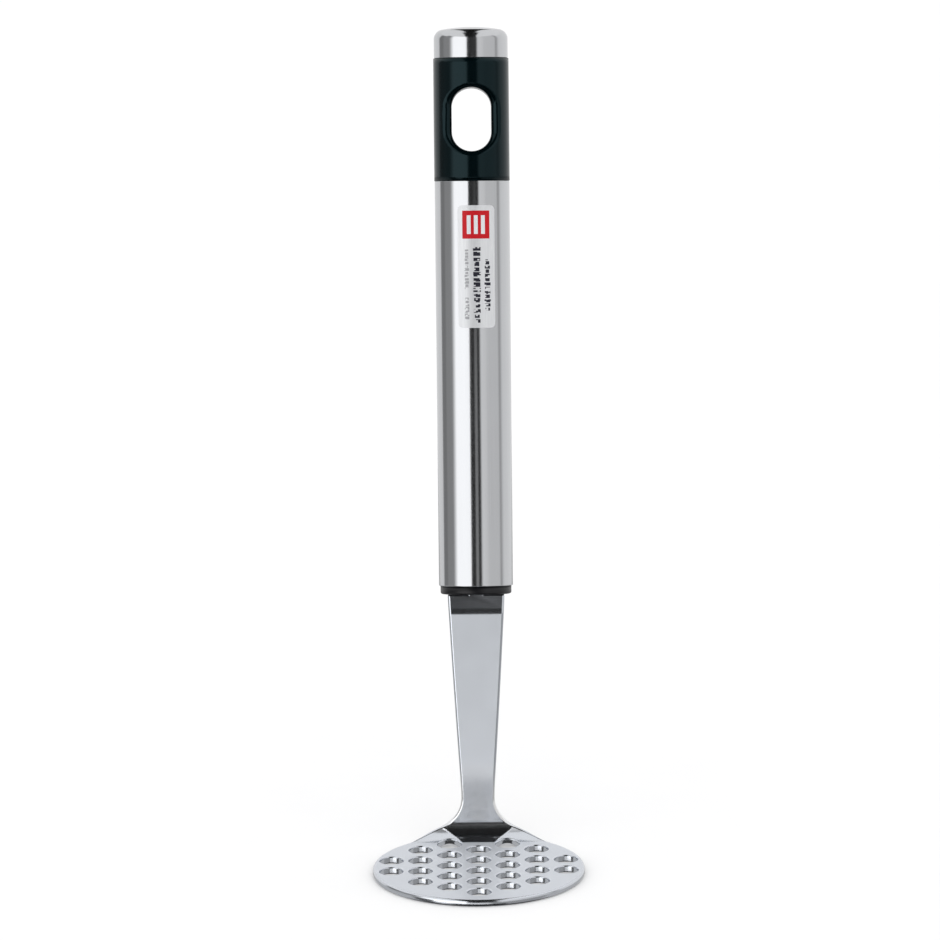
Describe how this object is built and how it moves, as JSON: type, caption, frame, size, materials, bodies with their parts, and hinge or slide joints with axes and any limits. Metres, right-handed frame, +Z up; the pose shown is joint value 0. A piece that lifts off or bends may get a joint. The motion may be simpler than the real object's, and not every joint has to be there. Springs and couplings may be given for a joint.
{
  "type": "potato ricer",
  "caption": "Hand masher: round perforated steel plate bent up into a flaring shank, on a long round steel handle with black trim and a hanging slot.",
  "frame": {"origin": "middle of the plate's hole pattern, on the plate's underside, 1.6 mm behind the centre of its round outline", "axes": "+Z up along the handle's general direction, -Z out of the plate's underside, -Y the front, +X to the right seen from the front"},
  "size_m": [0.0658, 0.1172, 0.2541],
  "materials": {
    "head_steel": "polished",
    "tube_steel": "fine satin brushed along the handle",
    "cap_steel": "satin",
    "plug_plastic": "satin black",
    "hanger_plastic": "smooth black",
    "label_film": "pale silvery film with a red square",
    "core_plastic": "natural",
    "pin_steel": "machined",
    "seal_rubber": "matt black"
  },
  "bodies": {
    "root": {"masher_head": "head_steel", "handle_tube": "tube_steel", "end_cap": "cap_steel", "bottom_plug": "plug_plastic", "hanger_section": "hanger_plastic", "label": "label_film", "tang_core_front": "core_plastic", "tang_core_rear": "core_plastic", "tang_pins": "pin_steel", "plug_seal": "seal_rubber", "hanger_seal": "seal_rubber", "cap_seal": "seal_rubber"}
  },
  "joints": []
}
